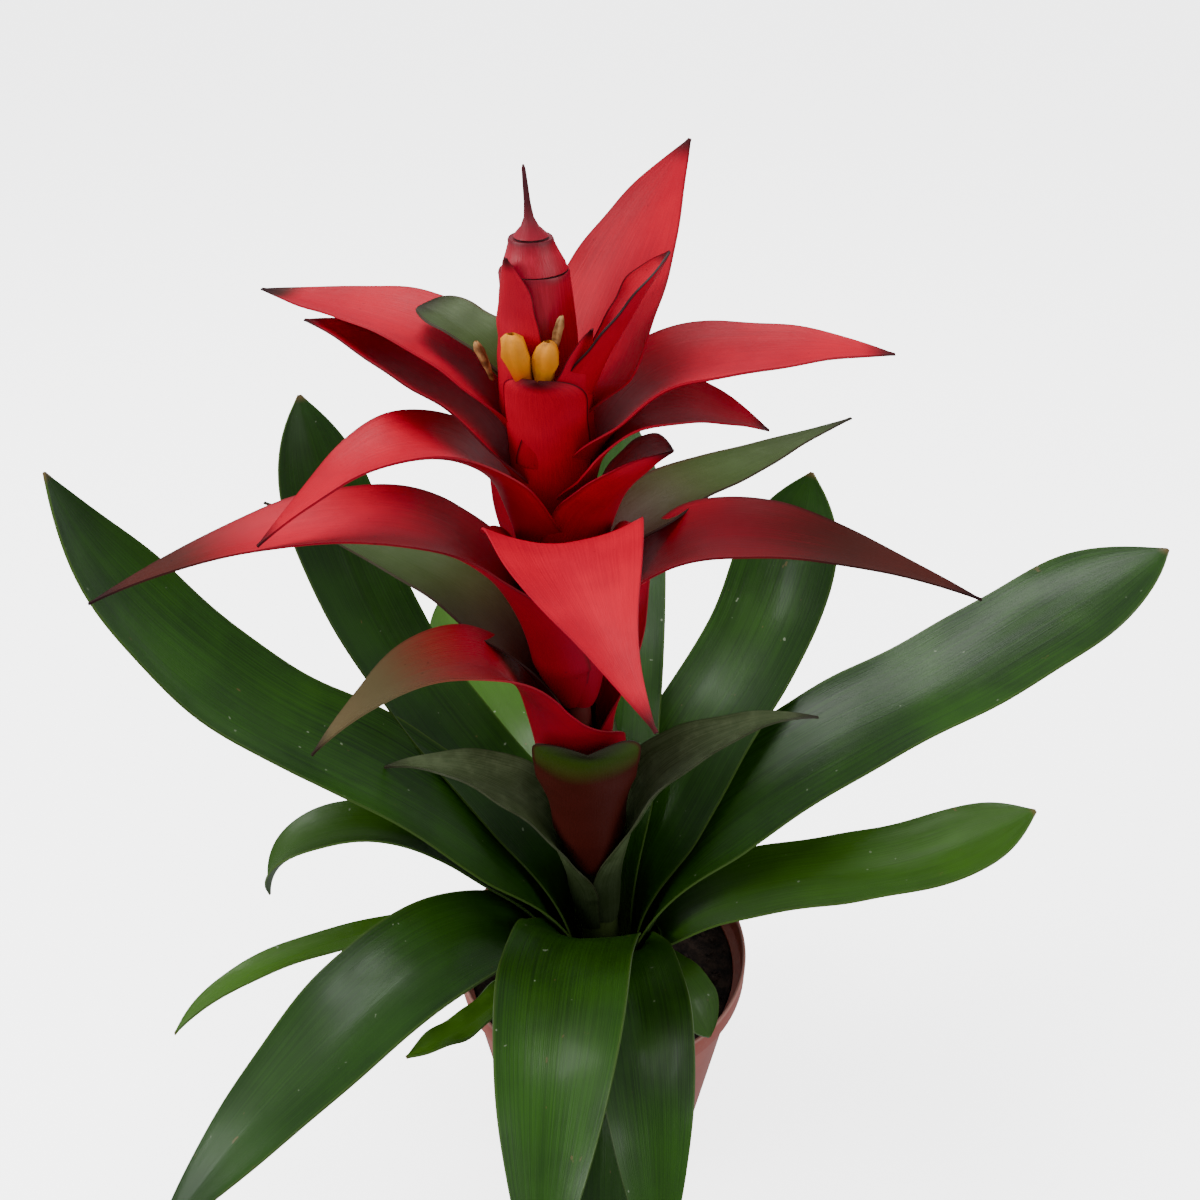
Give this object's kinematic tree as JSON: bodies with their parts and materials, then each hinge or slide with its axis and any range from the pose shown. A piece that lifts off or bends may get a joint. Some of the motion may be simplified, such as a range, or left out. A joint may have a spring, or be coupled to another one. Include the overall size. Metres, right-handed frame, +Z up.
{
  "type": "potted bromeliad",
  "caption": "Flowering bromeliad in a round nursery pot: strap-leaved green rosette, clasping red bracts in a star-shaped head, and a closed bud with small yellow flowers",
  "frame": {"origin": "centre of the pot's flat underside", "axes": "+Z up the pot's axis; the flower stalk leans slightly toward -X, and -Y is the side that the red drooping bract faces"},
  "size_m": [0.4198, 0.3394, 0.4223],
  "materials": {
    "pot": "satin thin injection-moulded polypropylene",
    "peat": "matte crumbly peat",
    "stem": "satin plant tissue",
    "leaf": "glossy plant tissue",
    "stalk_bract": "satin plant tissue with fine grey scales",
    "bract": "satin waxy plant tissue",
    "bud": "satin waxy plant tissue",
    "petal": "soft matte petal",
    "withered": "dry papery"
  },
  "bodies": {
    "root": {"bract_01": "bract", "bract_02": "bract", "bract_03": "bract", "bract_04": "bract", "bract_05": "bract", "bract_06": "bract", "bract_07": "bract", "bract_08": "bract", "bract_09": "bract", "bract_10": "bract", "bract_11": "bract", "bract_12": "bract", "bract_13": "bract", "bract_14": "bract", "bract_15": "bract", "bract_16": "bract", "bract_17": "bract", "bud_lower": "bud", "bud_tail": "bud", "bud_upper": "bud", "leaf_01": "leaf", "leaf_02": "leaf", "leaf_03": "leaf", "leaf_04": "leaf", "leaf_05": "leaf", "leaf_06": "leaf", "leaf_07": "leaf", "leaf_08": "leaf", "leaf_09": "leaf", "leaf_11": "leaf", "leaf_12": "leaf", "leaf_13": "leaf", "leaf_14": "leaf", "leaf_15": "leaf", "leaf_16": "leaf", "peat": "peat", "petal_01": "petal", "petal_02": "petal", "pot": "pot", "stalk_bract_01": "stalk_bract", "stalk_bract_02": "stalk_bract", "stalk_bract_03": "stalk_bract", "stalk_bract_04": "stalk_bract", "stalk_bract_05": "stalk_bract", "stalk_bract_06": "stalk_bract", "stalk_bract_07": "stalk_bract", "stem": "stem", "withered_flower_01": "withered", "withered_flower_02": "withered"}
  },
  "joints": []
}
